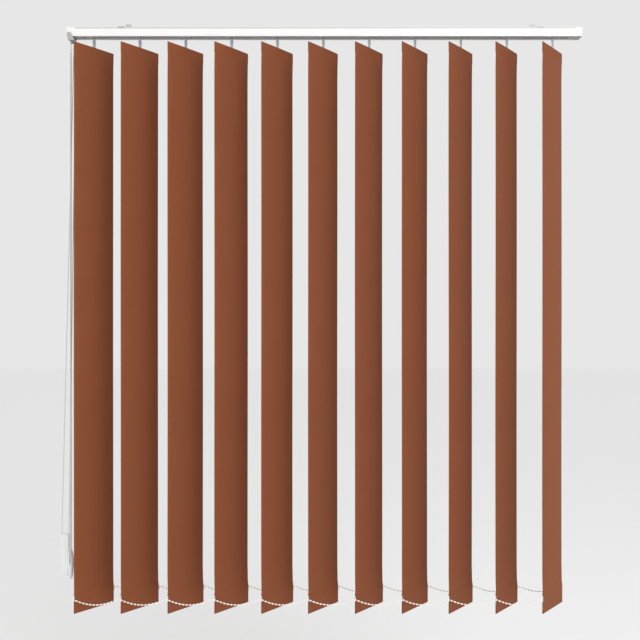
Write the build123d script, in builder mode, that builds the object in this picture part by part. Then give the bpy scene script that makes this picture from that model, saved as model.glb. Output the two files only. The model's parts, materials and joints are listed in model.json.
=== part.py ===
from build123d import *
import math
import os

# Vertical blind: a headrail on two wall brackets, eleven fabric vanes on sliding trucks,
# a bead chain that tilts the vanes and a draw cord that slides them along.
# Millimetres. The origin is the centre of the wall screw pattern, on the wall face.
# +X runs along the rail to the right, +Y into the wall, +Z up.

# ---- driving dimensions ----
vane_count = 11
vane_pitch = 115.0
stack_pitch = 20.0
vane_width = 127.0
vane_drop = 1406.0
rest_angle = 54.5

first_stem_in = 64.0
last_stem_in = 73.0
rail_depth = 32.0
rail_height = 24.0
rail_wall = 1.5
rail_slot = 17.0
rail_corner = 2.0
clip_groove_deep = 0.7
clip_groove_high = 1.6
clip_groove_down = 2.6

rail_top_z = -20.0
rail_centre_y = -78.5
stem_offset_y = 3.5
rod_offset_y = -4.0
rod_down = 11.8
cord_offset_y = 10.0
cord_high_down = 6.0
cord_low_down = 15.0

rod_radius = 2.2
rod_flutes = 6
flute_radius = 0.45
running_clearance = 0.08
sliding_clearance = 0.3

# ---- driving dimensions of the truck, stem and spacer ----
truck_end_wall = 2.0
stacked_gap = 2.0
truck_width = 25.2
truck_top_down = 7.6
shoe_height = 4.0
worm_radius = 3.2
worm_pitch = 2.0
gear_radius = 4.0
gear_height = 6.0
gear_teeth = 12
stem_radius = 2.2
blade_width = 6.0
blade_thick = 1.6
blade_in_pocket = 10.0
spacer_width = 10.0
spacer_thick = 0.5
spacer_step = 0.8
spacer_levels = 6
spacer_end_gap = 5.0
spacer_post = 8.0

# ---- driving dimensions of the vane and its weight ----
vane_gap = 22.3
cloth_thick = 0.7
vane_bow = 2.0
hem_height = 53.0
hem_thick = 2.6
hanger_width = 60.0
hanger_height = 18.0
hanger_thick = 3.0
weight_thick = 1.6
weight_up = 26.0
weight_end_in = 3.0
knob_out = 3.2
knob_height = 14.0
knob_up = 37.0

# ---- driving dimensions of the ends and controls ----
housing_length = 20.0
plug_length = 14.0
end_wall = 2.0
sprocket_in = 6.0
sprocket_beads = 7
bead_pitch = 6.0
bead_radius = 2.25
sprocket_width = 5.6
strand_half = 2.9
strand_bend = 30.0
chain_weight_centre = -3.5
chain_weight_width = 16.0
chain_weight_depth = 11.6
chain_weight_top_z = -1325.0
chain_weight_height = 73.0
cord_radius = 1.0
left_strand_in = 12.2
right_strand_in = 16.8
guide_bend = 4.0
cord_weight_left = 10.7
cord_weight_width = 20.8
cord_weight_depth = 12.0
cord_weight_top_z = -1287.5
cord_weight_height = 104.5
cord_weight_head = 36.5
weight_pulley_down = 28.0
weight_pulley_radius = 8.8
return_pulley_in = 14.0
pulley_thick = 3.6
axle_radius = 1.5
end_corner = 8.0
link_bead_radius = 2.0
link_gap = 0.3
link_sag = 17.0

# ---- driving dimensions of the brackets ----
bracket_left_in = 135.0
bracket_right_in = 107.0
bracket_width = 16.0
bracket_thick = 2.0
bracket_rise = 36.0
screw_spacing = 16.0
wall_hole_radius = 2.2
clip_thick = 1.0
clip_width = 15.0
clip_screw_radius = 2.0
clip_screw_head = 4.0

# ---- places worked out from them ----
rail_length = first_stem_in + (vane_count - 1) * vane_pitch + last_stem_in
bracket_middle = (bracket_left_in + rail_length - bracket_right_in) / 2
left_end = -bracket_middle
right_end = left_end + rail_length
stem_y = rail_centre_y + stem_offset_y
rod_y = rail_centre_y + rod_offset_y
rod_z = rail_top_z - rod_down
cord_y = rail_centre_y + cord_offset_y
rail_under_z = rail_top_z - rail_height
lip_top_z = rail_under_z + rail_wall
vane_top_z = rail_under_z - vane_gap
vane_bottom_z = vane_top_z - vane_drop
stems = [left_end + first_stem_in + k * vane_pitch for k in range(vane_count)]
half_vane = vane_width / 2
cos_rest = math.cos(math.radians(rest_angle))
sin_rest = math.sin(math.radians(rest_angle))
cavity_half = rail_depth / 2 - rail_wall
truck_length = stack_pitch - stacked_gap
worm_length = truck_length - 2 * truck_end_wall

os.makedirs("parts", exist_ok=True)


def save(piece, name):
    piece.part.label = name
    export_step(piece.part, f"parts/{name}.step")


def vane_plane(stem_x, z):
    """Local X runs across the vane from its near edge to its far edge."""
    return Plane(origin=(stem_x, stem_y, z), x_dir=(cos_rest, sin_rest, 0), z_dir=(0, 0, 1))


def route_radii(points, fixed):
    """The largest arc that each corner's two runs allow, or the size of what it goes round."""
    radii = []
    for i in range(1, len(points) - 1):
        before = Vector(points[i]) - Vector(points[i - 1])
        after = Vector(points[i + 1]) - Vector(points[i])
        turn = math.radians(before.get_angle(after))
        largest = 0.45 * min(before.length, after.length) / math.tan(turn / 2)
        radii.append(fixed.get(i, largest))
    return radii


def sweep_tube(points, fixed, radius, name):
    radii = route_radii(points, fixed)
    with BuildLine() as route:
        FilletPolyline(*points, radius=radii)
    wire = route.wires()[0]
    with BuildPart() as tube:
        with BuildSketch(Plane(origin=wire @ 0, z_dir=wire % 0)):
            Circle(radius)
        sweep(path=wire)
    share = tube.part.volume / (math.pi * radius**2 * wire.length)
    smallest = min(radii)
    print(f"{name}: length {wire.length:.0f} mm, smallest arc {smallest:.1f} mm, volume share {share:.4f}")
    return tube


# ---- headrail: a U-shaped extrusion, open below along a slot, grooved for the clips ----
extrusion_start = left_end + housing_length
extrusion_length = rail_length - 2 * housing_length
rail_middle_z = rail_top_z - rail_height / 2


groove_z = rail_top_z - clip_groove_down - clip_groove_high / 2
with BuildPart() as headrail:
    with BuildSketch(Plane.YZ.offset(extrusion_start)):
        with Locations((rail_centre_y, rail_middle_z)):
            RectangleRounded(rail_depth, rail_height, rail_corner)
            Rectangle(2 * cavity_half, rail_height - 2 * rail_wall, mode=Mode.SUBTRACT)
        with Locations(
            (rail_centre_y - rail_depth / 2, groove_z),
            (rail_centre_y + rail_depth / 2, groove_z),
        ):
            Rectangle(2 * clip_groove_deep, clip_groove_high, mode=Mode.SUBTRACT)
        with Locations((rail_centre_y, rail_under_z)):
            Rectangle(rail_slot, 4 * rail_wall, mode=Mode.SUBTRACT)
    extrude(amount=extrusion_length)
save(headrail, "headrail")


# ---- control end cap: sprocket housing, cord guides and a slanting outlet ----
sprocket_x = left_end + sprocket_in
pitch_radius = bead_pitch / (2 * math.sin(math.pi / sprocket_beads))
chamber_radius = pitch_radius + bead_radius + 0.5
chamber_width = sprocket_width + 1.6
chamber_down = 40.0
end_round = 0.8
plug_gap = 0.2
plug_width = 2 * (cavity_half - plug_gap)
plug_height = rail_height - 2 * (rail_wall + plug_gap)
high_z = rail_top_z - cord_high_down
low_z = rail_top_z - cord_low_down
left_strand_x = left_end + left_strand_in
right_strand_x = left_end + right_strand_in
cord_slot = 2 * cord_radius + 0.8
channel_slant = 1.5
channel_in = 0.2
groove_gap = 0.15
outlet_drop = 10.0
outlet_rise = 10.0
outlet_in = 1.0
outlet_low_in = 3.0
outlet_width = 9.0
outlet_slant = 10.0
outlet_front = 2.0
outlet_back = 3.0
outlet_round = 1.5

with BuildPart() as control_end_cap:
    with BuildSketch(Plane.YZ.offset(left_end)):
        with Locations((rail_centre_y, rail_middle_z)):
            RectangleRounded(rail_depth, rail_height, rail_corner)
    extrude(amount=housing_length)
    fillet(control_end_cap.faces().sort_by(Axis.X)[0].edges(), end_round)
    with BuildSketch(Plane.YZ.offset(left_end + housing_length)):
        with Locations((rail_centre_y, rail_middle_z)):
            Rectangle(plug_width, plug_height)
    extrude(amount=plug_length)
    # slanting outlet that leads the chain and cords out under the rail
    with BuildSketch(Plane.XZ.offset(-(rail_centre_y - rail_depth / 2 - outlet_front))):
        with BuildLine():
            Polyline(
                (left_end + outlet_in, rail_under_z + outlet_rise),
                (left_end + outlet_in + outlet_width, rail_under_z + outlet_rise),
                (left_end + outlet_in + outlet_width + outlet_slant, rail_under_z - outlet_drop),
                (left_end + outlet_low_in, rail_under_z - outlet_drop),
                close=True,
            )
        make_face()
        fillet(vertices(), outlet_round)
    extrude(amount=-(rail_depth / 2 + outlet_front + cord_offset_y + outlet_back))
    # sprocket chamber, open below
    with BuildSketch(Plane.YZ.offset(sprocket_x - chamber_width / 2)):
        with Locations((rod_y, rod_z)):
            Circle(chamber_radius)
        with Locations((rod_y, rod_z - chamber_down / 2)):
            Rectangle(2 * chamber_radius, chamber_down)
    extrude(amount=chamber_width, mode=Mode.SUBTRACT)
    # rod bearing through the housing and plug
    with BuildSketch(Plane.YZ.offset(sprocket_x)):
        with Locations((rod_y, rod_z)):
            Circle(rod_radius + running_clearance)
    extrude(amount=housing_length + plug_length, mode=Mode.SUBTRACT)
    # channel of the draw cord: a round guide post inside its upper bend, a rounded edge inside the lower
    with BuildSketch(Plane.XZ.offset(-(cord_y - cord_slot / 2))):
        with BuildLine():
            Polyline(
                (left_strand_x - cord_slot / 2 - channel_slant, rail_under_z - 2 * outlet_drop),
                (left_strand_x - cord_slot / 2 - channel_in, high_z + cord_slot / 2),
                (left_end + 2 * housing_length, high_z + cord_slot / 2),
                (left_end + 2 * housing_length, low_z - cord_slot / 2),
                (right_strand_x + cord_slot / 2, low_z - cord_slot / 2),
                (right_strand_x + cord_slot / 2, rail_under_z - 2 * outlet_drop),
                close=True,
            )
        make_face()
        inner_corner = (right_strand_x + cord_slot / 2, low_z - cord_slot / 2)
        fillet(vertices().sort_by_distance(inner_corner)[0], guide_bend - cord_slot / 2)
        with Locations((left_strand_x + guide_bend, high_z - guide_bend)):
            Circle(guide_bend - cord_radius - groove_gap, mode=Mode.SUBTRACT)
    extrude(amount=-cord_slot, mode=Mode.SUBTRACT)
save(control_end_cap, "control_end_cap")


# ---- far end cap: rod bearing and the return pulley's axle ----
return_x = right_end - return_pulley_in
return_radius = (cord_low_down - cord_high_down) / 2
return_z = (high_z + low_z) / 2
pulley_rim = 0.72
pulley_room = return_radius + 1.6
room_reach = plug_length + 5.0
axle_seat = 1.0
cap_start = right_end - housing_length
with BuildPart() as far_end_cap:
    with BuildSketch(Plane.YZ.offset(cap_start)):
        with Locations((rail_centre_y, rail_middle_z)):
            RectangleRounded(rail_depth, rail_height, rail_corner)
    extrude(amount=housing_length)
    with BuildSketch(Plane.YZ.offset(cap_start - plug_length)):
        with Locations((rail_centre_y, rail_middle_z)):
            Rectangle(plug_width, plug_height)
    extrude(amount=plug_length)
    lower_end = far_end_cap.edges().filter_by(Axis.Y).group_by(Axis.X)[-1].sort_by(Axis.Z)[0]
    fillet(lower_end, end_corner)
    with BuildSketch(Plane.YZ.offset(cap_start - plug_length)):
        with Locations((rod_y, rod_z)):
            Circle(rod_radius + running_clearance)
    extrude(amount=plug_length + housing_length - 2 * end_wall, mode=Mode.SUBTRACT)
    # pulley room, open towards the rail
    with BuildSketch(Plane.XZ.offset(-(cord_y - pulley_thick / 2 - sliding_clearance))):
        with Locations((return_x, return_z)):
            Circle(pulley_room)
        with Locations((return_x - room_reach, return_z)):
            Rectangle(2 * room_reach, 2 * pulley_room)
    extrude(amount=-(pulley_thick + 2 * sliding_clearance), mode=Mode.SUBTRACT)
    with BuildSketch(Plane.XZ.offset(-(cord_y - pulley_thick / 2 - axle_seat))):
        with Locations((return_x, return_z)):
            Circle(axle_radius)
    extrude(amount=-(pulley_thick + 2 * axle_seat))
save(far_end_cap, "far_end_cap")


# ---- pulleys: grooved rims that carry the cord ----
def pulley(x, z, radius, name):
    """A grooved wheel about a Y axis whose cord lies at the given radius."""
    groove = cord_radius + groove_gap
    half = pulley_thick / 2
    rim = radius + pulley_rim
    bore = axle_radius + running_clearance
    with BuildPart() as wheel:
        with BuildSketch(Plane.XY):
            with BuildLine():
                Line((bore, -half), (rim, -half))
                Line((rim, -half), (rim, -groove))
                Line((rim, -groove), (radius, -groove))
                ThreePointArc((radius, -groove), (radius - groove, 0), (radius, groove))
                Line((radius, groove), (rim, groove))
                Line((rim, groove), (rim, half))
                Line((rim, half), (bore, half))
                Line((bore, half), (bore, -half))
            make_face()
        revolve(axis=Axis.Y)
    wheel.part.locate(Location((x, cord_y, z)))
    save(wheel, name)


pulley(return_x, return_z, return_radius, "return_pulley")
weight_x = left_end - cord_weight_left
weight_pulley_z = cord_weight_top_z - weight_pulley_down
pulley(weight_x, weight_pulley_z, weight_pulley_radius, "weight_pulley")


# ---- tilt rod: a fluted bar from the sprocket to the far cap ----
rod_end_gap = 0.4
rod_start = left_end + end_wall + rod_end_gap
rod_end = right_end - 2 * end_wall
with BuildPart() as tilt_rod:
    with BuildSketch(Plane.YZ.offset(rod_start)):
        with Locations((rod_y, rod_z)):
            Circle(rod_radius)
            with PolarLocations(rod_radius, rod_flutes):
                Circle(flute_radius, mode=Mode.SUBTRACT)
    extrude(amount=rod_end - rod_start)
save(tilt_rod, "tilt_rod")


# ---- chain sprocket: two notched flanges on a hub ----
flange_thick = 0.4
flange_radius = pitch_radius + 1.4
notch_radius = 1.2
hub_radius = pitch_radius - bead_radius - sliding_clearance
with BuildPart() as chain_sprocket:
    with BuildSketch(Plane.YZ.offset(sprocket_x - sprocket_width / 2)):
        with Locations((rod_y, rod_z)):
            Circle(hub_radius)
            Circle(rod_radius + running_clearance, mode=Mode.SUBTRACT)
    extrude(amount=sprocket_width)
    for side in (-sprocket_width / 2, sprocket_width / 2 - flange_thick):
        with BuildSketch(Plane.YZ.offset(sprocket_x + side)):
            with Locations((rod_y, rod_z)):
                Circle(flange_radius)
                Circle(rod_radius + running_clearance, mode=Mode.SUBTRACT)
                with PolarLocations(flange_radius, sprocket_beads):
                    Circle(notch_radius, mode=Mode.SUBTRACT)
        extrude(amount=flange_thick)
save(chain_sprocket, "chain_sprocket")


# ---- trucks, each with its worm and the spacer strap that sets the next truck's place ----
shoe_gap = 0.3
shoe_end_in = 2.0
worm_end_gap = 0.2
worm_groove_deep = 0.4
room_rise = 10.0
strap_lift = 0.6
post_thick = 2.0
lug_thick = 4.0
lug_above_cord = 2.0
truck_bottom_z = lip_top_z + shoe_gap
truck_top_z = rail_top_z - truck_top_down
shoe_width = 2 * (cavity_half - shoe_gap)
worm_room = worm_radius + shoe_gap
gear_room = gear_radius + 0.4
gear_floor_z = rod_z - gear_height / 2 - shoe_gap
spacer_lane_y = rail_centre_y - 2.0
post_y = rail_centre_y - 10.7
post_front_y = post_y - post_thick / 2
cord_hole = cord_radius + 0.45


def make_truck(number, stem_x):
    strap_z = truck_top_z + strap_lift + spacer_step * (number % spacer_levels)
    with BuildPart() as truck:
        with BuildSketch(Plane.XY.offset(truck_bottom_z)):
            with Locations((stem_x, rail_centre_y)):
                Rectangle(truck_length, truck_width)
        extrude(amount=truck_top_z - truck_bottom_z)
        with BuildSketch(Plane.XY.offset(truck_bottom_z)):
            with Locations((stem_x, rail_centre_y)):
                Rectangle(truck_length - 2 * shoe_end_in, shoe_width)
        extrude(amount=shoe_height)
        # worm room, open above, and the rod's way through
        with BuildSketch(Plane.YZ.offset(stem_x - worm_length / 2 - worm_end_gap)):
            with Locations((rod_y, rod_z)):
                Circle(worm_room)
            with Locations((rod_y, rod_z + room_rise / 2)):
                Rectangle(2 * worm_room, room_rise)
        extrude(amount=worm_length + 2 * worm_end_gap, mode=Mode.SUBTRACT)
        with BuildSketch(Plane.YZ.offset(stem_x - truck_length)):
            with Locations((rod_y, rod_z)):
                Circle(rod_radius + sliding_clearance)
            with Locations((cord_y, low_z)):
                Circle(cord_hole)
        extrude(amount=2 * truck_length, mode=Mode.SUBTRACT)
        # gear room, open above, and the stem's bearing below
        with BuildSketch(Plane.XY.offset(gear_floor_z)):
            with Locations((stem_x, stem_y)):
                Circle(gear_room)
        extrude(amount=truck_top_z - gear_floor_z, mode=Mode.SUBTRACT)
        with BuildSketch(Plane.XY.offset(truck_bottom_z)):
            with Locations((stem_x, stem_y)):
                Circle(stem_radius + running_clearance)
        extrude(amount=gear_floor_z - truck_bottom_z, mode=Mode.SUBTRACT)
        if number == vane_count - 1:
            # the lead truck has the lug that the draw cord is tied in
            with BuildSketch(Plane.XY.offset(truck_top_z)):
                with Locations((stem_x, cord_y)):
                    Rectangle(truck_length, lug_thick)
            extrude(amount=high_z + lug_above_cord - truck_top_z)
            with BuildSketch(Plane.YZ.offset(stem_x - truck_length)):
                with Locations((cord_y, high_z)):
                    Circle(cord_radius + sliding_clearance)
            extrude(amount=2 * truck_length, mode=Mode.SUBTRACT)
    with BuildPart() as worm:
        with BuildSketch(Plane.YZ.offset(stem_x - worm_length / 2)):
            with Locations((rod_y, rod_z)):
                Circle(worm_radius)
                Circle(rod_radius + sliding_clearance / 2, mode=Mode.SUBTRACT)
        extrude(amount=worm_length)
        for turn in range(int(worm_length / worm_pitch) - 1):
            groove_x = stem_x - worm_length / 2 + worm_pitch * (turn + 0.75)
            with BuildSketch(Plane.YZ.offset(groove_x)):
                with Locations((rod_y, rod_z)):
                    Circle(worm_radius + 1)
                    Circle(worm_radius - worm_groove_deep, mode=Mode.SUBTRACT)
            extrude(amount=worm_pitch / 2, mode=Mode.SUBTRACT)
    pieces = [truck.part.solid(), worm.part.solid()]
    if number < vane_count - 1:
        strap_length = vane_pitch - spacer_end_gap + spacer_post / 2
        with BuildPart() as spacer:
            with BuildSketch(Plane.XY.offset(strap_z)):
                with Locations((stem_x - spacer_post / 2 + strap_length / 2, spacer_lane_y)):
                    Rectangle(strap_length, spacer_width)
                with Locations((stem_x, (spacer_lane_y + post_front_y) / 2)):
                    Rectangle(spacer_post, spacer_lane_y - post_front_y)
            extrude(amount=spacer_thick)
            with BuildSketch(Plane.XY.offset(truck_top_z)):
                with Locations((stem_x, post_y)):
                    Rectangle(spacer_post, post_thick)
            extrude(amount=strap_z - truck_top_z)
        pieces.append(spacer.part.solid())
    group = Compound(label=f"truck_{number + 1}", children=pieces)
    export_step(group, f"parts/truck_{number + 1}.step")


for number, stem_x in enumerate(stems):
    make_truck(number, stem_x)


# ---- stems: gear, round shaft and the flat blade that holds the vane ----
shaft_out = 2.0
collar_height = 3.0
collar_rim = 0.9
tooth_gap_radius = 0.55
tooth_gap_out = 0.1
blade_round = 0.5
blade_overlap = 1.0
shaft_end_z = rail_under_z - shaft_out
blade_end_z = vane_top_z - blade_in_pocket
for number, stem_x in enumerate(stems):
    with BuildPart() as stem:
        with BuildSketch(vane_plane(stem_x, rod_z - gear_height / 2)):
            Circle(gear_radius)
            with PolarLocations(gear_radius + tooth_gap_out, gear_teeth):
                Circle(tooth_gap_radius, mode=Mode.SUBTRACT)
        extrude(amount=gear_height)
        with BuildSketch(vane_plane(stem_x, shaft_end_z)):
            Circle(stem_radius)
        extrude(amount=rod_z - shaft_end_z)
        with BuildSketch(vane_plane(stem_x, blade_end_z)):
            RectangleRounded(blade_width, blade_thick, blade_round)
        extrude(amount=shaft_end_z + blade_overlap - blade_end_z)
        with BuildSketch(vane_plane(stem_x, shaft_end_z - collar_height)):
            Circle(stem_radius + collar_rim)
        extrude(amount=collar_height)
    save(stem, f"stem_{number + 1}")


# ---- vanes: a bowed cloth strip with a flat hem pocket below and a hanger plate above ----
weight_gap = 0.15
blade_gap = 0.2
blade_end_gap = 0.3
back = (vane_bow + cloth_thick) / 2
front = (vane_bow - cloth_thick) / 2
bow_facets = 12


def bowed_line(edge):
    """Points across one side of the cloth, from near edge to far edge, bowed in narrow facets."""
    shares = [2 * i / bow_facets - 1 for i in range(bow_facets + 1)]
    return [(share * half_vane, edge - vane_bow * (1 - share**2)) for share in shares]


for number, stem_x in enumerate(stems):
    with BuildPart() as vane:
        with BuildSketch(vane_plane(stem_x, vane_bottom_z)):
            with BuildLine():
                Polyline(*bowed_line(back), *reversed(bowed_line(front)), close=True)
            make_face()
        extrude(amount=vane_drop)
        with BuildSketch(vane_plane(stem_x, vane_bottom_z)):
            Rectangle(vane_width, hem_thick)
        extrude(amount=hem_height)
        with BuildSketch(vane_plane(stem_x, vane_top_z - hanger_height)):
            Rectangle(hanger_width, hanger_thick)
        extrude(amount=hanger_height)
        with BuildSketch(vane_plane(stem_x, vane_bottom_z + weight_end_in)):
            Rectangle(2 * vane_width, weight_thick + 2 * weight_gap)
        extrude(amount=hem_height - 2 * weight_end_in, mode=Mode.SUBTRACT)
        with BuildSketch(vane_plane(stem_x, blade_end_z - blade_end_gap)):
            Rectangle(blade_width + 2 * blade_gap, blade_thick + 2 * weight_gap)
        extrude(amount=2 * blade_in_pocket, mode=Mode.SUBTRACT)
    save(vane, f"vane_{number + 1}")


# ---- bottom weights: a plate in the hem with a knob out of each end ----
plate_height = 42.0
plate_round = 3.0
knob_round = 2.5
for number, stem_x in enumerate(stems):
    flat = vane_plane(stem_x, vane_bottom_z)
    upright = Plane(origin=flat.origin, x_dir=flat.x_dir, z_dir=-flat.y_dir)
    with BuildPart() as weight:
        with BuildSketch(upright.offset(-weight_thick / 2)):
            with Locations((0, weight_up)):
                RectangleRounded(vane_width - 2 * weight_end_in, plate_height, plate_round)
            with Locations((0, knob_up)):
                RectangleRounded(vane_width + 2 * knob_out, knob_height, knob_round)
        extrude(amount=weight_thick)
    save(weight, f"weight_{number + 1}")


# ---- link chains: one in front and one behind, sagging from knob to knob ----
link_shares = (0.12, 0.31, 0.5, 0.69, 0.88)
# the chain runs along X and passes the knob's tip, which stands at the vane's rest angle
link_off = (link_bead_radius + link_gap + weight_thick / 2 * cos_rest) / sin_rest
link_reach = half_vane + knob_out + link_off
link_z = vane_bottom_z + knob_up


def link_points(side):
    points = []
    for stem_x in stems:
        at = (stem_x + side * link_reach * cos_rest, stem_y + side * link_reach * sin_rest)
        points.append((*at, link_z))
        if stem_x != stems[-1]:
            for share in link_shares:
                dip = 4 * link_sag * share * (1 - share)
                points.append((at[0] + share * vane_pitch, at[1], link_z - dip))
    return points


for name, side in (("bottom_chain_front", -1), ("bottom_chain_back", 1)):
    points = link_points(side)
    span_points = len(link_shares) + 1
    on_knobs = {i: 3 * link_bead_radius for i in range(span_points, len(points) - 1, span_points)}
    chain = sweep_tube(points, on_knobs, link_bead_radius, name)
    save(chain, name)


# ---- draw cord: out at the control end, round its weight, and through the rail ----
lead_left = stems[-1] - truck_length / 2
lead_right = stems[-1] + truck_length / 2
tied = 3.0
turn_out = weight_pulley_radius + 0.2
cord_points = [
    (lead_left + tied, cord_y, high_z),
    (left_strand_x, cord_y, high_z),
    (weight_x - turn_out, cord_y, weight_pulley_z - weight_pulley_radius),
    (weight_x + turn_out, cord_y, weight_pulley_z - weight_pulley_radius),
    (right_strand_x, cord_y, low_z),
    (return_x + return_radius, cord_y, low_z),
    (return_x + return_radius, cord_y, high_z),
    (lead_right - tied, cord_y, high_z),
]
round_weight = weight_pulley_radius - 0.1
round_return = return_radius - 0.1
cord_fixed = {1: guide_bend, 4: guide_bend}
cord_fixed.update({2: round_weight, 3: round_weight, 5: round_return, 6: round_return})
draw_cord = sweep_tube(cord_points, cord_fixed, cord_radius, "draw_cord")
save(draw_cord, "draw_cord")


# ---- tilt chain: round the sprocket, through the outlet and down to its weight ----
chain_back_y = stem_y + chain_weight_centre + strand_half
chain_front_y = stem_y + chain_weight_centre - strand_half
loop_z = chain_weight_top_z - 30.0
outlet_z = rail_under_z - outlet_drop - 6.0
joint_up = 10.0
joint_gap = 0.4
leaves_sprocket_z = rod_z - 8.0
chain_points = [
    (sprocket_x, chain_back_y, loop_z + joint_up),
    (sprocket_x, chain_back_y, outlet_z - 12),
    (sprocket_x, rod_y + pitch_radius, leaves_sprocket_z),
    (sprocket_x, rod_y + pitch_radius, rod_z + pitch_radius),
    (sprocket_x, rod_y - pitch_radius, rod_z + pitch_radius),
    (sprocket_x, rod_y - pitch_radius, leaves_sprocket_z),
    (sprocket_x, chain_front_y, outlet_z - 2),
    (sprocket_x, chain_front_y, loop_z),
    (sprocket_x, chain_back_y, loop_z),
    (sprocket_x, chain_back_y, loop_z + joint_up - joint_gap),
]
round_sprocket = pitch_radius - 0.05
round_loop = strand_half - 0.05
chain_fixed = {3: round_sprocket, 4: round_sprocket, 7: round_loop, 8: round_loop}
chain_fixed.update({1: 60.0, 2: strand_bend, 5: strand_bend, 6: 50.0})
tilt_chain = sweep_tube(chain_points, chain_fixed, bead_radius, "tilt_chain")
save(tilt_chain, "tilt_chain")


# ---- chain weight: a flattened drop with a slot that grips the beads ----
chain_weight_y = stem_y + chain_weight_centre
slot_low_z = loop_z - strand_half - bead_radius - sliding_clearance
slot_width = 2 * bead_radius + 0.5
# share of the way down, and share of the full width there
drop_shape = ((0.0, 0.42), (0.12, 0.72), (0.35, 1.0), (0.6, 0.98), (0.85, 0.72), (1.0, 0.4))
with BuildPart() as chain_weight:
    for down, share in drop_shape:
        with BuildSketch(Plane.XY.offset(chain_weight_top_z - down * chain_weight_height)):
            with Locations((sprocket_x, chain_weight_y)):
                Ellipse(share * chain_weight_width / 2, share * chain_weight_depth / 2)
    loft()
    with BuildSketch(Plane.XY.offset(slot_low_z)):
        with Locations((sprocket_x, chain_weight_y)):
            Rectangle(slot_width, 2 * chain_weight_depth)
    extrude(amount=chain_weight_height, mode=Mode.SUBTRACT)
save(chain_weight, "chain_weight")


# ---- cord weight: a forked head round the pulley over a slimmer body ----
fork_slot = pulley_thick + 2 * sliding_clearance
fork_cut = 30.0
head_half = cord_weight_width / 2
head_low_z = cord_weight_top_z - cord_weight_head
shoulder_z = head_low_z - 4.0
foot_flare = 0.8
fork_floor = 2.0
foot_up = 8.0
cord_weight_round = 1.5
body_half = head_half - 1.4
cord_weight_bottom_z = cord_weight_top_z - cord_weight_height
with BuildPart() as cord_weight:
    with BuildSketch(Plane.XZ.offset(-(cord_y - cord_weight_depth / 2))):
        with BuildLine():
            Polyline(
                (weight_x - head_half, cord_weight_top_z),
                (weight_x - head_half, head_low_z),
                (weight_x - body_half, shoulder_z),
                (weight_x - body_half + foot_flare, cord_weight_bottom_z + foot_up),
                (weight_x - body_half, cord_weight_bottom_z),
                (weight_x + body_half, cord_weight_bottom_z),
                (weight_x + body_half - foot_flare, cord_weight_bottom_z + foot_up),
                (weight_x + body_half, shoulder_z),
                (weight_x + head_half, head_low_z),
                (weight_x + head_half, cord_weight_top_z),
                close=True,
            )
        make_face()
    extrude(amount=-cord_weight_depth)
    fillet(cord_weight.faces().filter_by(Axis.Y).edges(), cord_weight_round)
    with BuildSketch(Plane.XZ.offset(-(cord_y - fork_slot / 2))):
        with Locations((weight_x, weight_pulley_z + fork_cut / 2)):
            Rectangle(2 * cord_weight_width, fork_cut + 2 * (weight_pulley_radius + fork_floor))
    extrude(amount=-fork_slot, mode=Mode.SUBTRACT)
    with BuildSketch(Plane.XZ.offset(-(cord_y - fork_slot / 2 - axle_seat))):
        with Locations((weight_x, weight_pulley_z)):
            Circle(axle_radius)
    extrude(amount=-(fork_slot + 2 * axle_seat))
save(cord_weight, "cord_weight")


# ---- wall brackets: bent steel with two wall holes and a slot for the clip screw ----
clip_top_z = rail_top_z + clip_thick
leg_z = clip_top_z + bracket_thick
leg_front_y = rail_centre_y - 9.0
bend_inside = 1.5
bend_outside = bend_inside + bracket_thick
bracket_corner = 4.0
clip_screw_gap = 0.2
rib_width = 3.0
rib_reach = 9.0
rib_rise = 5.0
bracket_xs = (left_end + bracket_left_in, right_end - bracket_right_in)
for name, bracket_x in zip(("bracket_left", "bracket_right"), bracket_xs):
    with BuildPart() as bracket:
        with BuildSketch(Plane.YZ.offset(bracket_x - bracket_width / 2)):
            with BuildLine():
                Polyline(
                    (leg_front_y, clip_top_z),
                    (0, clip_top_z),
                    (0, rail_top_z + bracket_rise),
                    (-bracket_thick, rail_top_z + bracket_rise),
                    (-bracket_thick, leg_z),
                    (leg_front_y, leg_z),
                    close=True,
                )
            make_face()
        extrude(amount=bracket_width)
        bend = bracket.edges().filter_by(Axis.X)
        fillet(bend.sort_by_distance((bracket_x, -bracket_thick, leg_z))[0], bend_inside)
        heel = bracket.edges().filter_by(Axis.X).sort_by_distance((bracket_x, 0, clip_top_z))[0]
        fillet(heel, bend_outside)
        corners = bracket.edges().filter_by(Axis.Y).group_by(Axis.Z)[-1]
        fillet(corners, bracket_corner)
        with BuildSketch(Plane.XZ):
            with Locations((bracket_x, -screw_spacing / 2), (bracket_x, screw_spacing / 2)):
                Circle(wall_hole_radius)
        extrude(amount=2 * bracket_thick, mode=Mode.SUBTRACT)
        with BuildSketch(Plane.XY.offset(clip_top_z - clip_thick)):
            with Locations((bracket_x, rail_centre_y)):
                Circle(clip_screw_radius + clip_screw_gap)
        extrude(amount=2 * bracket_thick, mode=Mode.SUBTRACT)
        # stiffening ribs pressed beside the bend
        with BuildSketch(Plane.YZ.offset(bracket_x - rib_width / 2)):
            with BuildLine():
                Polyline(
                    (-bracket_thick - rib_reach, leg_z),
                    (-bracket_thick, leg_z),
                    (-bracket_thick, leg_z + rib_rise),
                    close=True,
                )
            make_face()
        extrude(amount=rib_width)
    save(bracket, name)


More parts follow.
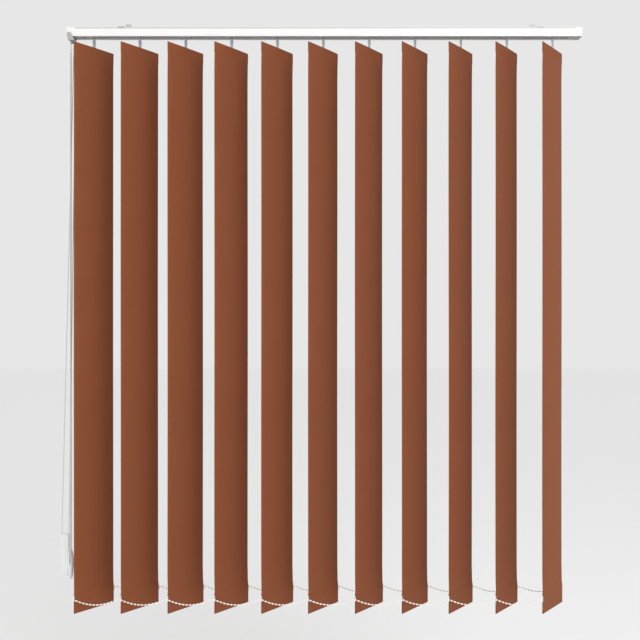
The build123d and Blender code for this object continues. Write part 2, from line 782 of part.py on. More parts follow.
# ---- rail clips and their screws: one group of identical fasteners on each bracket ----
groove_top_z = rail_top_z - clip_groove_down
clip_gap = 0.2
hook_high = 1.0
hook_in = rail_depth / 2 - clip_groove_deep + 0.15
hook_top_z = groove_top_z - clip_gap
hook_low_z = hook_top_z - hook_high
clip_inside = rail_depth / 2 + clip_gap
clip_outside = clip_inside + clip_thick
screw_out = 1.5
screw_head_high = 1.8
screw_head_round = 0.8
pieces = []
for bracket_x in bracket_xs:
    with BuildPart() as clip:
        with BuildSketch(Plane.YZ.offset(bracket_x - clip_width / 2)):
            with BuildLine():
                Polyline(
                    (rail_centre_y - clip_outside, clip_top_z),
                    (rail_centre_y + clip_outside, clip_top_z),
                    (rail_centre_y + clip_outside, hook_low_z),
                    (rail_centre_y + hook_in, hook_low_z),
                    (rail_centre_y + hook_in, hook_top_z),
                    (rail_centre_y + clip_inside, hook_top_z),
                    (rail_centre_y + clip_inside, rail_top_z),
                    (rail_centre_y - clip_inside, rail_top_z),
                    (rail_centre_y - clip_inside, hook_top_z),
                    (rail_centre_y - hook_in, hook_top_z),
                    (rail_centre_y - hook_in, hook_low_z),
                    (rail_centre_y - clip_outside, hook_low_z),
                    close=True,
                )
            make_face()
        extrude(amount=clip_width)
        with BuildSketch(Plane.XY.offset(rail_top_z)):
            with Locations((bracket_x, rail_centre_y)):
                Circle(clip_screw_radius)
        extrude(amount=clip_thick + bracket_thick + screw_out)
        with BuildSketch(Plane.XY.offset(leg_z)):
            with Locations((bracket_x, rail_centre_y)):
                Circle(clip_screw_head)
        extrude(amount=screw_head_high)
        fillet(clip.faces().sort_by(Axis.Z)[-1].edges(), screw_head_round)
    pieces.append(clip.part.solid())
group = Compound(label="rail_clips", children=pieces)
export_step(group, "parts/rail_clips.step")
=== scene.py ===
import json
import math

import bpy
import numpy as np
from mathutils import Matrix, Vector


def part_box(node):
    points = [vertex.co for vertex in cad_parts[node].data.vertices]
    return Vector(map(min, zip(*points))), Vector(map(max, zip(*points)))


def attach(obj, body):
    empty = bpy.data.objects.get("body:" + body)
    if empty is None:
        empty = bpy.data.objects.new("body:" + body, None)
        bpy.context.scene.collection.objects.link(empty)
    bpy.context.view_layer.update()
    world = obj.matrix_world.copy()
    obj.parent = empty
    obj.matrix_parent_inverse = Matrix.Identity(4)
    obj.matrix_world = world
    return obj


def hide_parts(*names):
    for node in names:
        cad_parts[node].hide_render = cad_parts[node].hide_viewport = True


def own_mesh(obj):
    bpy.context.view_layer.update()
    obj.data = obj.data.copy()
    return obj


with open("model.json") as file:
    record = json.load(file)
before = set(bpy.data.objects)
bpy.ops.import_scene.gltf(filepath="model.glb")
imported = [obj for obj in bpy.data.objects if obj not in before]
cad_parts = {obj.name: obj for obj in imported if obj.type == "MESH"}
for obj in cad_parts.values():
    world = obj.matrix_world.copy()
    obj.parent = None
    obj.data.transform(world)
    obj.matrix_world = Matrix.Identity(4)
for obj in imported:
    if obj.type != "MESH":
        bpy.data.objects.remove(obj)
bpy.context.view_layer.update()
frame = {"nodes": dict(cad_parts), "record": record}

# ---- sizes that the construction shares ----
VANE_COUNT = 11
VANE_WIDTH = 0.127
HALF_VANE = VANE_WIDTH / 2
REST_ANGLE = math.radians(54.5)
ACROSS = Vector((math.cos(REST_ANGLE), math.sin(REST_ANGLE), 0))
OUT = Vector((-math.sin(REST_ANGLE), math.cos(REST_ANGLE), 0))
VANE_PITCH = 0.115
TILT_BEAD_RADIUS = 0.00225
TILT_BEAD_PITCH = 0.006
TILT_STRING = 0.0007
LINK_RADIUS = 0.002
LINK_HALF_LENGTH = 0.0030
LINK_STRING = 0.0005
LINK_PITCH = 0.0087
LINK_SAG = 0.0155
# where the link chains' points lie between two knobs, as shares of the span
LINK_SHARES = (0.12, 0.31, 0.5, 0.69, 0.88)
CORD_RADIUS = 0.001


def middle(node):
    low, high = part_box(node)
    return (low + high) / 2


stems = [middle(f"stem_{k + 1}") for k in range(VANE_COUNT)]
middle_stem = stems[VANE_COUNT // 2]
STEM_Y = stems[0].y
vane_low_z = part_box("vane_1")[0].z
vane_high_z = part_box("vane_1")[1].z
rail_low, rail_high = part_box("headrail")


# ---- material helpers ----
class Paint:
    """A principled material, with short names for the nodes that colour and roughen it."""

    def __init__(self, name, colour, roughness, **sockets):
        self.material = bpy.data.materials.new(name)
        self.material.use_nodes = True
        self.nodes = self.material.node_tree.nodes
        self.links = self.material.node_tree.links
        self.shader = self.nodes["Principled BSDF"]
        self.shader.inputs["Base Color"].default_value = (*colour, 1)
        self.shader.inputs["Roughness"].default_value = roughness
        for socket, value in sockets.items():
            self.shader.inputs[socket.replace("_", " ")].default_value = value
        self.place = self.nodes.new("ShaderNodeTexCoord").outputs["Object"]
        self.height = None

    def stretched(self, vector, scale):
        node = self.nodes.new("ShaderNodeMapping")
        node.inputs["Scale"].default_value = scale
        self.links.new(vector, node.inputs["Vector"])
        return node.outputs["Vector"]

    def noise(self, vector, scale, detail=3.0, roughness=0.5):
        node = self.nodes.new("ShaderNodeTexNoise")
        node.inputs["Scale"].default_value = scale
        node.inputs["Detail"].default_value = detail
        node.inputs["Roughness"].default_value = roughness
        self.links.new(vector, node.inputs["Vector"])
        return node.outputs["Fac"]

    def math(self, operation, first, second=0):
        node = self.nodes.new("ShaderNodeMath")
        node.operation = operation
        for socket, value in zip(node.inputs, (first, second)):
            if isinstance(value, (int, float)):
                socket.default_value = value
            else:
                self.links.new(value, socket)
        return node.outputs[0]

    def ramp(self, value, low, high, start=0.0, end=1.0):
        """low where value is start, high where it is end."""
        node = self.nodes.new("ShaderNodeMapRange")
        sockets = ("From Min", "From Max", "To Min", "To Max")
        for socket, number in zip(sockets, (start, end, low, high)):
            node.inputs[socket].default_value = number
        self.links.new(value, node.inputs["Value"])
        return node.outputs["Result"]

    def colours(self, value, low, high):
        node = self.nodes.new("ShaderNodeMix")
        node.data_type = "RGBA"
        self.links.new(value, node.inputs["Factor"])
        node.inputs["A"].default_value = (*low, 1)
        node.inputs["B"].default_value = (*high, 1)
        return node.outputs["Result"]

    def darker(self, colour, value):
        """colour times value."""
        node = self.nodes.new("ShaderNodeMix")
        node.data_type = "RGBA"
        node.blend_type = "MULTIPLY"
        node.inputs["Factor"].default_value = 1
        self.links.new(colour, node.inputs["A"])
        self.links.new(value, node.inputs["B"])
        return node.outputs["Result"]

    def split(self, vector):
        node = self.nodes.new("ShaderNodeSeparateXYZ")
        self.links.new(vector, node.inputs[0])
        return node.outputs

    def shaded_below(self, colour, factor):
        """colour, times factor on the faces that look down, as painted shade."""
        facing = self.split(self.nodes.new("ShaderNodeTexCoord").outputs["Normal"])
        below = self.ramp(facing[2], factor, 1.0, start=FACES_DOWN, end=FACES_ASIDE)
        return self.darker(colour, below)

    def into(self, socket, value):
        self.links.new(value, self.shader.inputs[socket])

    def bump(self, value, strength, distance):
        node = self.nodes.new("ShaderNodeBump")
        node.inputs["Strength"].default_value = strength
        node.inputs["Distance"].default_value = distance
        self.links.new(value, node.inputs["Height"])
        if self.height:
            self.links.new(self.height, node.inputs["Normal"])
        self.height = node.outputs["Normal"]
        self.links.new(self.height, self.shader.inputs["Normal"])
        return self


def shade(colour, factor):
    return tuple(part * factor for part in colour)


# the share of white that painted shade leaves on the undersides, on a band along the clip groove of the rail
# and on the cord outlet
UNDERSIDE_SHADE = 0.36
GROOVE_SHADE = 0.45
OUTLET_SHADE = 0.5
# the groove's middle, from the rail's top, and half its height
GROOVE_DOWN = 0.0034
GROOVE_HALF = 0.0008
GROOVE_EDGE = 0.0001
# how far out of the rail the outlet's painted shade begins and is whole
OUTLET_BEGINS = 0.0002
OUTLET_WHOLE = 0.0006
# the height of a face's normal where it counts as looking down, and where it no longer does
FACES_DOWN = -0.95
FACES_ASIDE = -0.6
TONE_SPREAD = 0.05
WARP_PITCH = 0.0009
WEFT_PITCH = 0.0011


def powder_coat():
    """White, with painted shade on the faces that look down, such as the lips, and on a band along the clip
    groove.
    """
    paint = Paint("powder_coat", (0.76, 0.76, 0.75), 0.34, Coat_Weight=0.15, Coat_Roughness=0.2)
    peel = paint.noise(paint.place, scale=900, detail=2)
    cloud = paint.noise(paint.place, scale=14, detail=3)
    white = paint.colours(cloud, (0.745, 0.745, 0.735), (0.785, 0.785, 0.78))
    # painted shade on a band along the clip groove
    above_groove = paint.math("SUBTRACT", paint.split(paint.place)[2], rail_high.z - GROOVE_DOWN)
    from_groove = paint.math("ABSOLUTE", above_groove)
    groove = paint.ramp(from_groove, GROOVE_SHADE, 1.0, start=GROOVE_HALF, end=GROOVE_HALF + GROOVE_EDGE)
    paint.into("Base Color", paint.shaded_below(paint.darker(white, groove), UNDERSIDE_SHADE))
    paint.into("Roughness", paint.ramp(cloud, low=0.28, high=0.42))
    return paint.bump(peel, strength=0.12, distance=0.0002).material


def grained(name, colour, roughness, painted_underside_shade=False, **sockets):
    """Plastic or paint with a faint grain and slow changes of tone; some get painted shade on the faces that
    look down.
    """
    paint = Paint(name, colour, roughness, **sockets)
    cloud = paint.noise(paint.place, scale=40, detail=3)
    tone = paint.colours(cloud, shade(colour, 1 - TONE_SPREAD), shade(colour, 1 + TONE_SPREAD))
    # painted shade on the faces that look down
    if painted_underside_shade:
        tone = paint.shaded_below(tone, UNDERSIDE_SHADE)
    paint.into("Base Color", tone)
    paint.into("Roughness", paint.ramp(cloud, roughness - 0.06, roughness + 0.08))
    grain = paint.noise(paint.place, scale=700, detail=2)
    return paint.bump(grain, strength=0.1, distance=0.0001).material


def end_cap_plastic():
    """White, with painted shade on the faces that look down and on the cord outlet, which stands out in
    front of the rail and below it.
    """
    colour = (0.74, 0.74, 0.73)
    paint = Paint("plastic_white", colour, 0.4)
    cloud = paint.noise(paint.place, scale=40, detail=3)
    place = paint.split(paint.place)

    def shaded_past(axis):
        edge = rail_low[axis]
        return paint.ramp(place[axis], OUTLET_SHADE, 1.0, start=edge - OUTLET_WHOLE, end=edge - OUTLET_BEGINS)

    tone = paint.colours(cloud, shade(colour, 1 - TONE_SPREAD), shade(colour, 1 + TONE_SPREAD))
    # painted shade on the cord outlet
    tone = paint.darker(tone, paint.math("MINIMUM", shaded_past(1), shaded_past(2)))
    paint.into("Base Color", paint.shaded_below(tone, UNDERSIDE_SHADE))
    paint.into("Roughness", paint.ramp(cloud, low=0.34, high=0.48))
    grain = paint.noise(paint.place, scale=700, detail=2)
    return paint.bump(grain, strength=0.1, distance=0.0001).material


def drawn_metal(name, colour, roughness, direction):
    """Bare metal with fine lines along the direction that it was drawn or rolled in."""
    paint = Paint(name, colour, roughness, Metallic=1.0)
    lines = paint.noise(paint.stretched(paint.place, direction), scale=600, detail=3)
    paint.into("Roughness", paint.ramp(lines, roughness - 0.1, roughness + 0.12))
    paint.into("Base Color", paint.colours(lines, shade(colour, 0.88), shade(colour, 1.06)))
    return paint.bump(lines, strength=0.15, distance=0.00005).material


def woven_cloth():
    """Stiffened plain weave: warp down the vane and weft across it, with slubs in both."""
    paint = Paint("vane_cloth", (0.22, 0.07, 0.03), 0.85, Sheen_Weight=0.05, Sheen_Roughness=0.5)
    paint.shader.inputs["Sheen Tint"].default_value = (0.9, 0.7, 0.6, 1)
    paint.shader.inputs["Specular IOR Level"].default_value = 0.15
    lay = paint.nodes.new("ShaderNodeAttribute")
    lay.attribute_name = "lay"
    lay = lay.outputs["Vector"]
    across, down, _ = paint.split(lay)
    turn = 2 * math.pi
    warp = paint.math("SINE", paint.math("MULTIPLY", across, turn / WARP_PITCH))
    weft = paint.math("SINE", paint.math("MULTIPLY", down, turn / WEFT_PITCH))
    weave = paint.math("MULTIPLY", warp, weft)
    warp_slub = paint.noise(paint.stretched(lay, (1, 0.012, 1)), scale=900, roughness=0.6)
    weft_slub = paint.noise(paint.stretched(lay, (0.02, 1, 1)), scale=1100, roughness=0.6)
    warp_share = paint.math("MULTIPLY", warp_slub, 0.6)
    weft_share = paint.math("MULTIPLY", weft_slub, 0.4)
    slub = paint.math("ADD", warp_share, weft_share)
    cloud = paint.noise(lay, scale=9)
    tone = paint.colours(slub, (0.190, 0.052, 0.0185), (0.292, 0.094, 0.040))
    tone = paint.darker(tone, paint.ramp(cloud, low=0.95, high=1.05))
    tone = paint.darker(tone, paint.ramp(weave, low=0.95, high=1.05, start=-1, end=1))
    paint.into("Base Color", tone)
    paint.into("Roughness", paint.ramp(slub, low=0.74, high=0.9))
    paint.bump(weave, strength=0.25, distance=0.0001)
    return paint.bump(slub, strength=0.35, distance=0.00025).material


def braided(name, colour):
    paint = Paint(name, colour, 0.75)
    strands = paint.noise(paint.stretched(paint.place, (1, 1, 0.4)), scale=2500, detail=2)
    paint.into("Base Color", paint.colours(strands, shade(colour, 0.8), shade(colour, 1.1)))
    return paint.bump(strands, strength=0.5, distance=0.0002).material


MATERIALS = {
    "rail_white": powder_coat(),
    "plastic_white": end_cap_plastic(),
    "plastic_natural": grained("plastic_natural", (0.72, 0.73, 0.71), 0.45, painted_underside_shade=True),
    "rod_aluminium": drawn_metal("rod_aluminium", (0.8, 0.81, 0.82), 0.32, (0.02, 1, 1)),
    "stem_clear": grained("stem_clear", (0.5, 0.53, 0.53), 0.22, Transmission_Weight=0.3, IOR=1.5),
    "vane_cloth": woven_cloth(),
    "weight_plastic": grained("weight_plastic", (0.8, 0.82, 0.78), 0.45),
    "link_chain": grained("link_chain", (0.85, 0.80, 0.74), 0.3, Coat_Weight=0.3),
    "cord_white": braided("cord_white", (0.62, 0.64, 0.64)),
    "bead_chain": grained("bead_chain", (0.78, 0.8, 0.8), 0.3, Coat_Weight=0.3),
    "control_plastic": grained("control_plastic", (0.74, 0.76, 0.76), 0.25, Coat_Weight=0.4),
    "bracket_steel": grained("bracket_steel", (0.44, 0.45, 0.45), 0.5, Metallic=0.3),
}

for entry in frame["record"]["subparts"]:
    node = frame["nodes"][entry["node"]]
    node.data.materials.clear()
    node.data.materials.append(MATERIALS[entry["material_slot"]])


# ---- mesh helpers ----
def new_piece(name, vertices, faces, slot, body, smooth=True):
    mesh = bpy.data.meshes.new(name)
    mesh.from_pydata([tuple(v) for v in vertices], [], faces)
    mesh.validate()
    if smooth:
        mesh.shade_smooth()
    mesh.materials.append(MATERIALS[slot])
    piece = bpy.data.objects.new(name, mesh)
    bpy.context.collection.objects.link(piece)
    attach(piece, body)
    return piece


def spline(name, points):
    """A smooth curve whose control points are the route's."""
    curve = bpy.data.curves.new(name, "CURVE")
    curve.dimensions = "3D"
    curve.resolution_u = 12
    line = curve.splines.new("NURBS")
    line.points.add(len(points) - 1)
    for point, at in zip(line.points, points):
        point.co = (*at, 1)
    line.order_u = 3
    line.use_endpoint_u = True
    return curve


def followed(name, points):
    """The points that the route's smooth curve passes through."""
    bare = bpy.data.objects.new(name, spline(name, points))
    mesh = bpy.data.meshes.new_from_object(bare)
    line = np.array([v.co for v in mesh.vertices])
    bpy.data.meshes.remove(mesh)
    bpy.data.curves.remove(bare.data)
    return line


PROBE = 1e-4


def along(line, step, start):
    """Places a step apart on the line, with the direction at each."""
    run = np.concatenate([[0], np.cumsum(np.linalg.norm(np.diff(line, axis=0), axis=1))])
    at = np.arange(start, run[-1], step)
    places = np.stack([np.interp(at, run, line[:, k]) for k in range(3)], axis=1)
    ahead = np.stack([np.interp(at + PROBE, run, line[:, k]) for k in range(3)], axis=1)
    behind = np.stack([np.interp(at - PROBE, run, line[:, k]) for k in range(3)], axis=1)
    return places, ahead - behind


# a direction that no cord or pin runs in
ASKEW = Vector((0.1, 1, 0.2))


def frame_at(direction):
    """Three unit vectors, the first along the direction."""
    forward = Vector(direction).normalized()
    side = forward.cross(ASKEW).normalized()
    return forward, side, forward.cross(side)


def rings_mesh(rings):
    """Vertices and faces of a skin over rings of equal count, with a flat face over each end."""
    count = len(rings[0])
    vertices = [v for ring in rings for v in ring]
    faces = []
    for r in range(len(rings) - 1):
        for k in range(count):
            a, b = r * count + k, r * count + (k + 1) % count
            faces.append((a, b, b + count, a + count))
    faces.append(tuple(reversed(range(count))))
    faces.append(tuple(range(len(vertices) - count, len(vertices))))
    return vertices, faces


BEAD_SIDES = 10
BEAD_ROWS = 6
# how far the first and last ring of a bead are from its poles, as a share of the space between rings
BEAD_END = 0.35


def beads(name, line, radius, half_length, step, string_radius, slot, body):
    """Beads on a string that follows the line."""
    vertices, faces = [], []

    def add(rings):
        more, skin = rings_mesh(rings)
        faces.extend(tuple(len(vertices) + i for i in face) for face in skin)
        vertices.extend(more)

    turns = [2 * math.pi * k / BEAD_SIDES for k in range(BEAD_SIDES)]
    places, directions = along(line, step, step / 2)
    for place, direction in zip(places, directions):
        forward, side, up = frame_at(direction)
        rings = []
        for row in range(BEAD_ROWS + 1):
            polar = math.pi * (row + BEAD_END) / (BEAD_ROWS + 2 * BEAD_END)
            centre = Vector(place) - forward * half_length * math.cos(polar)
            wide = radius * math.sin(polar)
            rings.append([centre + (side * math.cos(t) + up * math.sin(t)) * wide for t in turns])
        add(rings)
    places, directions = along(line, step / 2, 0)
    rings = []
    for place, direction in zip(places, directions):
        forward, side, up = frame_at(direction)
        string = [(side * math.cos(t) + up * math.sin(t)) * string_radius for t in turns[::2]]
        rings.append([Vector(place) + spoke for spoke in string])
    add(rings)
    return new_piece(name, vertices, faces, slot, body)


# ---- camera ----
CAMERA_BACK = 2.333
CAMERA_DOWN = 0.770
CAMERA_LEFT = 0.0085
CAMERA_LENS = 52.3
CAMERA_SHIFT = 0.025
CAMERA_SEES = 100
SENSOR_WIDTH = 36
camera = bpy.data.objects.new("camera", bpy.data.cameras.new("camera"))
bpy.context.collection.objects.link(camera)
camera.data.lens = CAMERA_LENS
camera.data.sensor_width = SENSOR_WIDTH
camera.data.shift_y = CAMERA_SHIFT
camera.data.clip_end = CAMERA_SEES
camera.location = (middle_stem.x - CAMERA_LEFT, STEM_Y - CAMERA_BACK, rail_high.z - CAMERA_DOWN)
camera.rotation_euler = (math.pi / 2, 0, 0)
bpy.context.scene.camera = camera


# ---- vanes: cloth folded round the hanger above and the weight below ----
# the hem round the bottom weight: its height, half its thickness and the heights of its points
HEM_HEIGHT = 0.053
HEM_HALF = 0.00112
HEM_HEIGHTS = (0.0025, 0.005, 0.010, 0.018, 0.026, 0.034, 0.042)
HEM_OPENS = 0.004
# the hem round the hanger plate: its depth, half its thickness and how far down its points lie
HEAD_HEM = 0.025
HEAD_HALF = 0.0007
HEAD_TOP = 0.003
HEAD_MIDDLE = 0.012
SEAM_HALF = 0.002
SEAM_TUCK = 0.0002
# how far from the seams the free cloth's points begin and end
BODY_TOP = 0.006
BODY_END = 0.010
BODY_EASE = 0.008
CLOTH_THICK = 0.00045
LAID_ON = CLOTH_THICK + 0.0001
FOLD_STEPS = 8
BODY_STEPS = 40
ACROSS_CELLS = 20
EDGE_IN = 0.0002
# the bow across the cloth, which the hem takes away below and the hanger lessens above
BOW = 0.0020
BOW_CENTRE = -0.0009
FLAT_BELOW = 0.003
BOWED_ABOVE = 0.022
HEAD_EASE = 0.08
HEAD_FLATTENS = 0.6
# a slow wave down the cloth and a slight twist of its edges
WAVE = 0.0003
WAVE_RATE = 5.5
TWIST = 0.0002
TWIST_RATE = 3


def smooth_step(value, start, end):
    share = min(1, max(0, (value - start) / (end - start)))
    return share * share * (3 - 2 * share)


def fold(side, half, base):
    """(out, height) round a fold: over the cloth's head for side 1, under its foot for side -1."""
    turns = [math.pi * step / FOLD_STEPS for step in range(1, FOLD_STEPS)]
    return [(side * half * math.cos(turn), base - side * half * (1 - math.sin(turn))) for turn in turns]


def vane_section(drop):
    """(out of the vane's plane, height) down the cloth, from the head hem's end to the foot hem's end."""
    seam = drop - HEAD_HEM
    weld = HEM_HEIGHT - SEAM_HALF
    body = seam - HEM_HEIGHT - BODY_TOP - BODY_END
    points = [(HEAD_HALF - SEAM_TUCK, seam - SEAM_HALF), (HEAD_HALF, seam + SEAM_HALF)]
    points += [(HEAD_HALF, drop - HEAD_MIDDLE), (HEAD_HALF, drop - HEAD_TOP)]
    points += fold(1, HEAD_HALF, drop - CLOTH_THICK)
    points += [(-HEAD_HALF, drop - HEAD_TOP), (-HEAD_HALF, drop - HEAD_MIDDLE)]
    points += [(-HEAD_HALF, seam + HEAD_TOP)]
    points += [(-SEAM_TUCK, seam), (-SEAM_TUCK, seam - SEAM_HALF), (0, seam - BODY_TOP)]
    points += [(0, seam - BODY_TOP - step * body / BODY_STEPS) for step in range(1, BODY_STEPS)]
    points += [(0, weld + BODY_EASE), (0, weld + SEAM_HALF), (-SEAM_TUCK, weld)]
    points += [(-HEM_HALF, weld - HEM_OPENS)]
    points += [(-HEM_HALF, height) for height in reversed(HEM_HEIGHTS)]
    points += fold(-1, HEM_HALF, CLOTH_THICK)
    points += [(HEM_HALF, height) for height in HEM_HEIGHTS]
    points += [(HEM_HALF, weld - HEM_OPENS), (LAID_ON, weld), (LAID_ON, weld + SEAM_HALF)]
    return points


def make_vane(number):
    stem = stems[number]
    drop = vane_high_z - vane_low_z
    section = vane_section(drop)
    random = np.random.default_rng(number)
    phase, lean = random.uniform(0, 2 * math.pi), random.uniform(-1, 1)
    run = np.concatenate([[0], np.cumsum(np.linalg.norm(np.diff(np.array(section), axis=0), axis=1))])
    vertices, lay = [], []
    for (out, height), length in zip(section, run):
        bowed = smooth_step(height, HEM_HEIGHT - FLAT_BELOW, HEM_HEIGHT + BOWED_ABOVE)
        bowed *= 1 - HEAD_FLATTENS * smooth_step(height, drop - HEAD_EASE, drop - HEAD_HEM)
        for cell in range(ACROSS_CELLS + 1):
            across = (2 * cell / ACROSS_CELLS - 1) * (HALF_VANE - EDGE_IN)
            share = across / HALF_VANE
            bow = BOW_CENTRE + BOW * share * share
            wave = WAVE * math.sin(WAVE_RATE * height + phase)
            wave += TWIST * lean * share * math.sin(TWIST_RATE * height)
            off = out + bowed * (bow + wave)
            place = ACROSS * across + OUT * off
            vertices.append((stem.x + place.x, stem.y + place.y, vane_low_z + height))
            lay.append((across, length, 0))
    wide = ACROSS_CELLS + 1
    faces = [
        (r * wide + c, r * wide + c + 1, (r + 1) * wide + c + 1, (r + 1) * wide + c)
        for r in range(len(section) - 1)
        for c in range(ACROSS_CELLS)
    ]
    name = f"cloth_{number + 1}"
    piece = new_piece(name, vertices, faces, "vane_cloth", f"vane_turn_{number + 1}")
    attribute = piece.data.attributes.new("lay", "FLOAT_VECTOR", "POINT")
    attribute.data.foreach_set("vector", np.array(lay, np.float32).ravel())
    thick = piece.modifiers.new("thickness", "SOLIDIFY")
    thick.thickness = CLOTH_THICK
    thick.offset = 0
    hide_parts(f"vane_{number + 1}")


# ---- hangers: a clear hook from each stem, and the plate in the head hem that it holds ----
# (half its width, height) down each plate's outline
HOOK_PROFILE = (
    (0.0022, -0.0045), (0.0052, -0.0068), (0.0055, -0.0108), (0.0042, -0.0150), (0.0038, -0.0245),
)
HOOK_HALF_THICK = 0.0011
HOOK_RIM = 0.0003
PLATE_PROFILE = ((0.0285, 0.0), (0.030, -0.0015), (0.030, -0.0165), (0.0285, -0.018))
PLATE_HALF_THICK = 0.0004
PLATE_RIM = 0.0001
PLATE_DOWN = 0.0012


def flat_plate(name, number, profile, half_thick, top_z, rim):
    """A thin moulding in the vane's plane, its heights counted from top_z, with a bevelled rim."""
    stem = stems[number]
    outline = list(profile) + [(-half, height) for half, height in reversed(profile)]
    centre = sum(height for across, height in outline) / len(outline)
    rings = []
    for inset, off in ((rim, -half_thick), (0, rim - half_thick), (0, half_thick - rim), (rim, half_thick)):
        ring = []
        for across, height in outline:
            away = Vector((across, height - centre))
            share = 1 - inset / away.length
            place = ACROSS * across * share + OUT * off
            ring.append((stem.x + place.x, stem.y + place.y, top_z + centre + away.y * share))
        rings.append(ring)
    vertices, faces = rings_mesh(rings)
    body = f"vane_turn_{number + 1}"
    new_piece(f"{name}_{number + 1}", vertices, faces, "stem_clear", body, smooth=False)


for number in range(VANE_COUNT):
    make_vane(number)
    flat_plate("hook", number, HOOK_PROFILE, HOOK_HALF_THICK, rail_low.z, HOOK_RIM)
    flat_plate("plate", number, PLATE_PROFILE, PLATE_HALF_THICK, vane_high_z - PLATE_DOWN, PLATE_RIM)


# ---- link chains, which run from knob to knob in front of and behind the vanes ----
KNOB_OUT = 0.0032
KNOB_HALF_THICK = 0.0008
LINK_GAP = 0.0003
# from the stem to the chain, along the vane
LINK_REACH = HALF_VANE + KNOB_OUT + (LINK_RADIUS + LINK_GAP + KNOB_HALF_THICK * ACROSS.x) / ACROSS.y
LINK_UP = 0.0395
LINK_Z = vane_low_z + LINK_UP
# how far the pins, like the smooth chain at the knobs, lie below the route's points
PIN_BELOW = 0.0015
# how far the chains stand out from the knobs, which keeps them clear of the hems of closed vanes
LINK_STAND_OFF = 0.0025
# (out from the knob's end, radius) along a pin, which ends in a round head
PIN_PROFILE = (
    (-0.0006, 0.0009), (0.0026, 0.0007), (0.0030, 0.0011),
    (0.0036, 0.00135), (0.0042, 0.0011), (0.0046, 0.0004),
)
PIN_SIDES = 12


def link_route(side):
    points = []
    for stem in stems:
        knob = (stem.x + side * LINK_REACH * ACROSS.x, stem.y + side * LINK_REACH * ACROSS.y)
        chain_y = knob[1] + side * LINK_STAND_OFF
        points.append((knob[0], chain_y, LINK_Z))
        if stem != stems[-1]:
            for share in LINK_SHARES:
                dip = 4 * LINK_SAG * share * (1 - share)
                points.append((knob[0] + share * VANE_PITCH, chain_y, LINK_Z - dip))
    return points


def link_pin(number, name, side):
    """The pin from a weight's knob that the chain is hooked on."""
    direction = ACROSS * side
    knob_tip = Vector((stems[number].x, STEM_Y, LINK_Z - PIN_BELOW)) + direction * (HALF_VANE + KNOB_OUT)
    forward, level, up = frame_at(direction)
    turns = [2 * math.pi * k / PIN_SIDES for k in range(PIN_SIDES)]
    rings = [
        [knob_tip + forward * out + (level * math.cos(t) + up * math.sin(t)) * radius for t in turns]
        for out, radius in PIN_PROFILE
    ]
    vertices, faces = rings_mesh(rings)
    new_piece(f"pin_{name}_{number + 1}", vertices, faces, "weight_plastic", f"vane_turn_{number + 1}")


for name, side in (("front", -1), ("back", 1)):
    route = link_route(side)
    line = followed(f"link_{name}", route)
    body = f"link_chain_{name}"
    sizes = (LINK_RADIUS, LINK_HALF_LENGTH, LINK_PITCH, LINK_STRING)
    chain = beads(f"links_{name}", line, *sizes, "link_chain", body)
    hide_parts(f"bottom_chain_{name}")
    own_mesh(chain)
    for number in range(VANE_COUNT):
        link_pin(number, name, side)


# ---- draw cord: from the lead truck to the control end, round its weight and back through the rail ----
left_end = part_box("control_end_cap")[0].x
weight_pulley = middle("weight_pulley")
return_pulley = middle("return_pulley")
CORD_Y = return_pulley.y
# the cord's two levels in the rail
HIGH_DOWN = 0.006
LOW_DOWN = 0.015
HIGH_Z = rail_high.z - HIGH_DOWN
LOW_Z = rail_high.z - LOW_DOWN
# the two strands that leave the control end, which lean slightly out towards the weight's pulley
LEFT_STRAND_IN = 0.0122
RIGHT_STRAND_IN = 0.0168
LEFT_LEANS = 0.0003
RIGHT_LEANS = 0.0002
left_strand_x = left_end + LEFT_STRAND_IN
right_strand_x = left_end + RIGHT_STRAND_IN
TIE_OUT = 0.006
lead_left = stems[-1].x - TIE_OUT
lead_right = stems[-1].x + TIE_OUT
# how far the cord's points lie from the middles of its pulleys
WEIGHT_TURN = 0.009
RETURN_TURN = 0.0045
# six diameters of the cord: where a straight run meets a bend
NEAR = 0.012
drawn = [
    (lead_left, CORD_Y, HIGH_Z),
    (left_strand_x + NEAR, CORD_Y, HIGH_Z),
    (left_strand_x, CORD_Y, HIGH_Z),
    (left_strand_x - LEFT_LEANS, CORD_Y, HIGH_Z - NEAR),
    (weight_pulley.x - WEIGHT_TURN, CORD_Y, weight_pulley.z + NEAR),
    (weight_pulley.x - WEIGHT_TURN, CORD_Y, weight_pulley.z - WEIGHT_TURN),
    (weight_pulley.x + WEIGHT_TURN, CORD_Y, weight_pulley.z - WEIGHT_TURN),
    (weight_pulley.x + WEIGHT_TURN, CORD_Y, weight_pulley.z + NEAR),
    (right_strand_x - RIGHT_LEANS, CORD_Y, LOW_Z - NEAR),
    (right_strand_x, CORD_Y, LOW_Z),
    (right_strand_x + NEAR, CORD_Y, LOW_Z),
    (return_pulley.x - NEAR, CORD_Y, LOW_Z),
    (return_pulley.x + RETURN_TURN, CORD_Y, LOW_Z),
    (return_pulley.x + RETURN_TURN, CORD_Y, HIGH_Z),
    (return_pulley.x - NEAR, CORD_Y, HIGH_Z),
    (lead_right, CORD_Y, HIGH_Z),
]
curve = spline("draw_cord_line", drawn)
curve.bevel_depth = CORD_RADIUS
curve.bevel_resolution = 2
curve.materials.append(MATERIALS["cord_white"])
cord = bpy.data.objects.new("draw_line", curve)
bpy.context.collection.objects.link(cord)
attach(cord, "root")
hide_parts("draw_cord")


# ---- tilt chain: over the sprocket and down through its weight ----
sprocket = middle("chain_sprocket")
chain_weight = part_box("chain_weight")
chain_y = (chain_weight[0].y + chain_weight[1].y) / 2
# half the space between the front and back strands, and the chain's way round the sprocket
STRAND_HALF = 0.0029
SPROCKET_TURN = 0.0069
SPROCKET_BELOW = 0.008
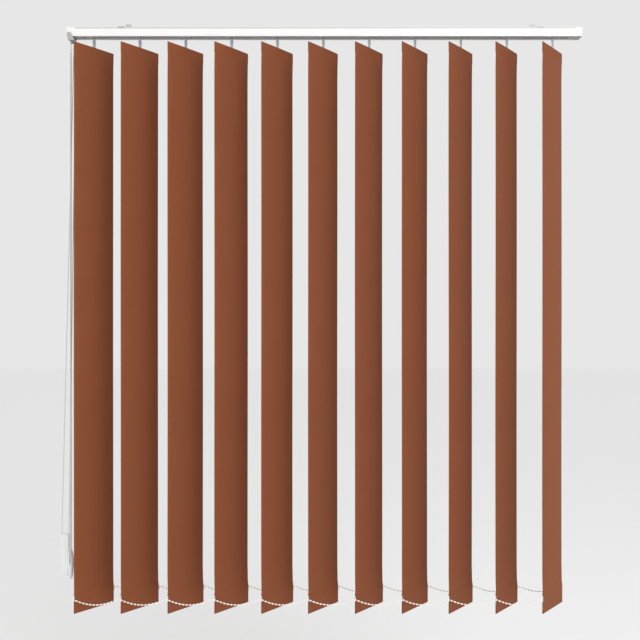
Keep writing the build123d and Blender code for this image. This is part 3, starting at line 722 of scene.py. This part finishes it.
# the loop's foot below its weight's top, heights above that foot, and depths below the outlet
LOOP_DOWN = 0.030
LOOP_JOIN = 0.010
LOOP_END = 0.0095
BACK_RISE = 0.037
BACK_UNDER = 0.012
FRONT_UNDER = 0.002
FRONT_LOW = 0.029
FRONT_RISE = 0.018
OUTLET_DOWN = 0.016
front_y = chain_y - STRAND_HALF
back_y = chain_y + STRAND_HALF
loop_z = chain_weight[1].z - LOOP_DOWN
outlet_z = rail_low.z - OUTLET_DOWN
tilting = [
    (sprocket.x, back_y, loop_z + LOOP_JOIN),
    (sprocket.x, back_y, loop_z + BACK_RISE),
    (sprocket.x, back_y, outlet_z - BACK_UNDER),
    (sprocket.x, sprocket.y + SPROCKET_TURN, sprocket.z - SPROCKET_BELOW),
    (sprocket.x, sprocket.y + SPROCKET_TURN, sprocket.z + SPROCKET_TURN),
    (sprocket.x, sprocket.y - SPROCKET_TURN, sprocket.z + SPROCKET_TURN),
    (sprocket.x, sprocket.y - SPROCKET_TURN, sprocket.z - SPROCKET_BELOW),
    (sprocket.x, front_y, outlet_z - FRONT_UNDER),
    (sprocket.x, front_y, outlet_z - FRONT_LOW),
    (sprocket.x, front_y, loop_z + FRONT_RISE),
    (sprocket.x, front_y, loop_z),
    (sprocket.x, back_y, loop_z),
    (sprocket.x, back_y, loop_z + LOOP_END),
]
line = followed("tilt_line", tilting)
sizes = (TILT_BEAD_RADIUS, TILT_BEAD_RADIUS, TILT_BEAD_PITCH, TILT_STRING)
chain = beads("tilt_beads", line, *sizes, "bead_chain", "root")
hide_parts("tilt_chain")


# ---- floor, sky and lights ----
def flat_material(name, colour):
    paint = Paint(name, colour, 0.9)
    cloud = paint.noise(paint.place, scale=3, detail=2)
    paint.into("Base Color", paint.colours(cloud, shade(colour, 0.985), colour))
    return paint.material


FLOOR_SIZE = 60
FLOOR_BELOW = 0.45
bpy.ops.mesh.primitive_plane_add(size=FLOOR_SIZE, location=(0, 0, vane_low_z - FLOOR_BELOW))
floor = bpy.context.object
floor.name = "floor"
floor.data.materials.append(flat_material("floor", (0.97, 0.97, 0.97)))

world = bpy.data.worlds.new("world")
bpy.context.scene.world = world
world.use_nodes = True
world.node_tree.nodes["Background"].inputs["Color"].default_value = (1, 1, 1, 1)
world.node_tree.nodes["Background"].inputs["Strength"].default_value = 0.80


def soft_light(name, place, target, size, power):
    lamp = bpy.data.lights.new(name, "AREA")
    lamp.shape = "RECTANGLE"
    lamp.size, lamp.size_y = size
    lamp.energy = power
    light = bpy.data.objects.new(name, lamp)
    bpy.context.collection.objects.link(light)
    light.location = place
    light.rotation_mode = "QUATERNION"
    light.rotation_quaternion = (Vector(target) - Vector(place)).to_track_quat("-Z", "Y")


blind_middle = (middle_stem.x, STEM_Y, (vane_low_z + vane_high_z) / 2)
soft_light("key", place=(1.5, -3.2, 0.6), target=blind_middle, size=(2.4, 2.2), power=56)
soft_light("fill", place=(-2.4, -2.6, -0.3), target=blind_middle, size=(1.6, 2.2), power=20)

bpy.context.scene.view_settings.view_transform = "Standard"
